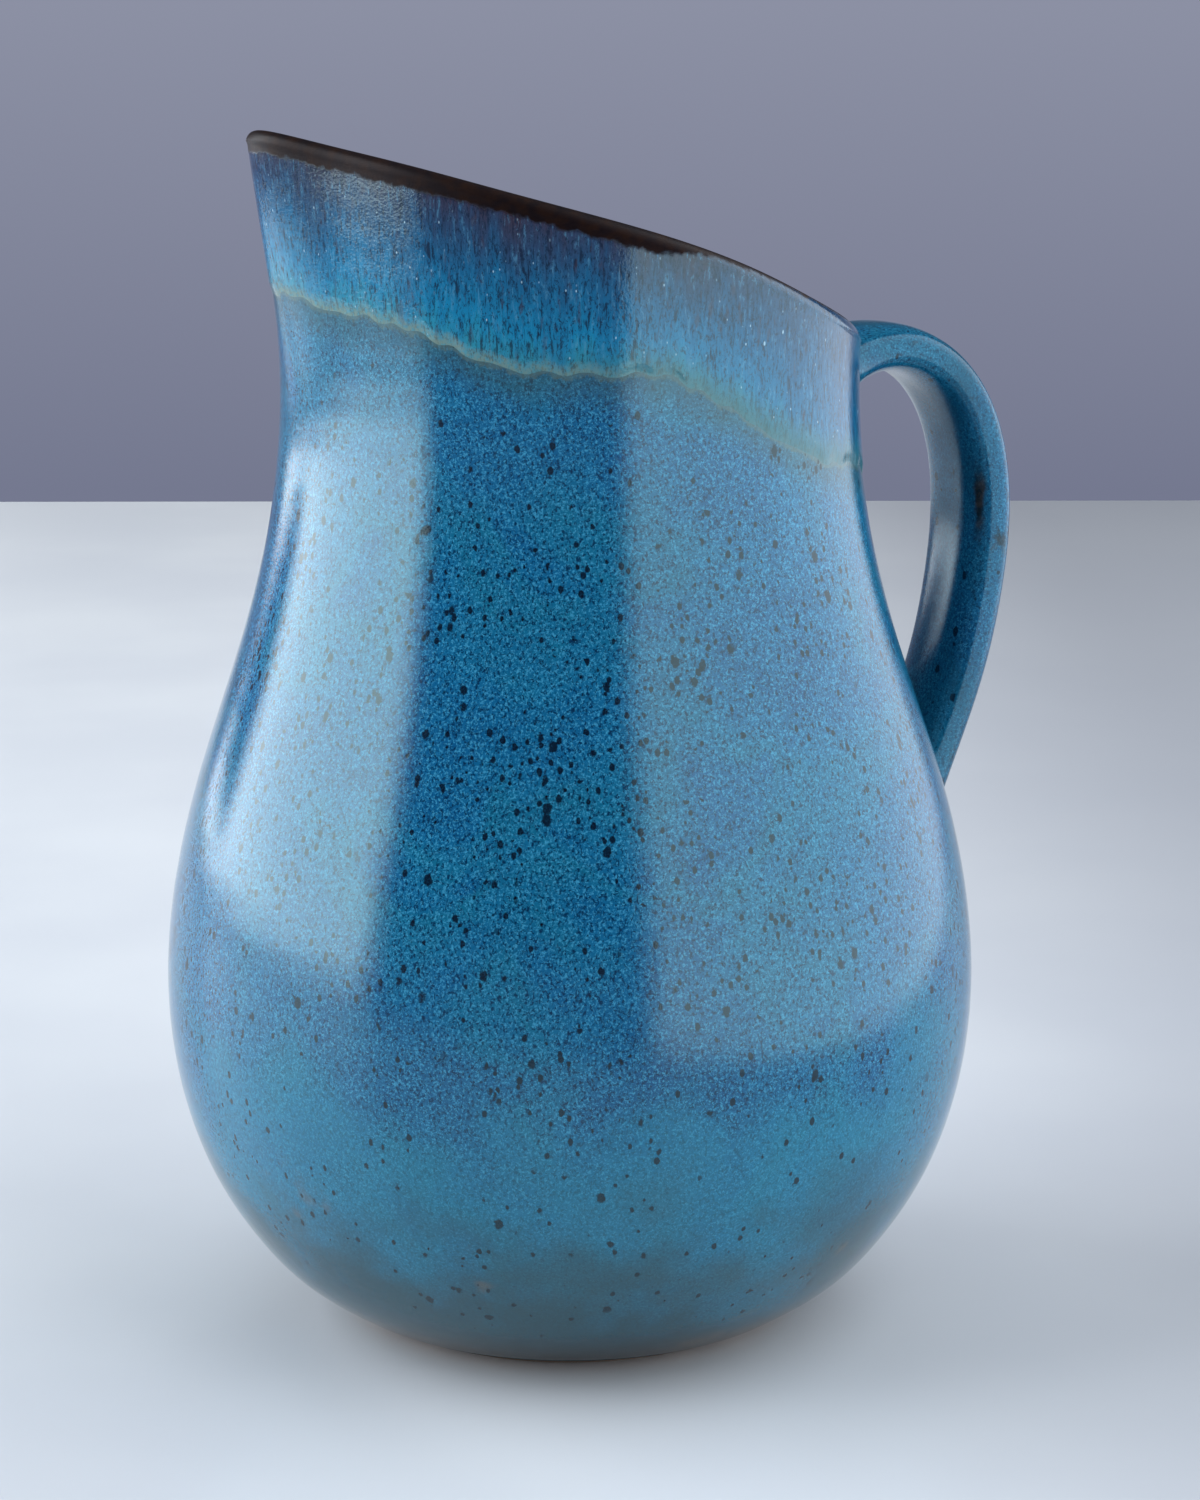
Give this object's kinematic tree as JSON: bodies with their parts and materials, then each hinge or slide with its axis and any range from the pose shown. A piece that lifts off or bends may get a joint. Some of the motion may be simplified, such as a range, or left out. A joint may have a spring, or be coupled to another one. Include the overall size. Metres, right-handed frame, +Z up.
{
  "type": "ceramic pitcher",
  "caption": "Round-bellied stoneware pitcher with a slanted rim, a pulled pouring lip and a strap handle, glazed speckled blue.",
  "frame": {"origin": "centre of the base, on the plane that the pitcher stands on", "axes": "+Z up along the axis the body was thrown on, -X towards the pouring lip, +X towards the handle; XZ is the plane of symmetry"},
  "size_m": [0.1869, 0.1698, 0.2489],
  "materials": {
    "stoneware": "bare fired clay, matte",
    "slip": "bare fired slip, matte",
    "blue_glaze": "glossy speckled blue glaze with dark iron spots",
    "rim_glaze": "glossy streaked deep blue glaze, brown where it thins on the rim, pale at its lower edge",
    "liner_glaze": "glossy blue glaze"
  },
  "bodies": {
    "root": {"body": "stoneware", "handle": "stoneware", "lower_slip_joint": "slip", "upper_slip_joint": "slip", "outer_glaze": "blue_glaze", "liner_glaze": "liner_glaze", "rim_glaze": "rim_glaze", "handle_glaze": "blue_glaze"}
  },
  "joints": []
}
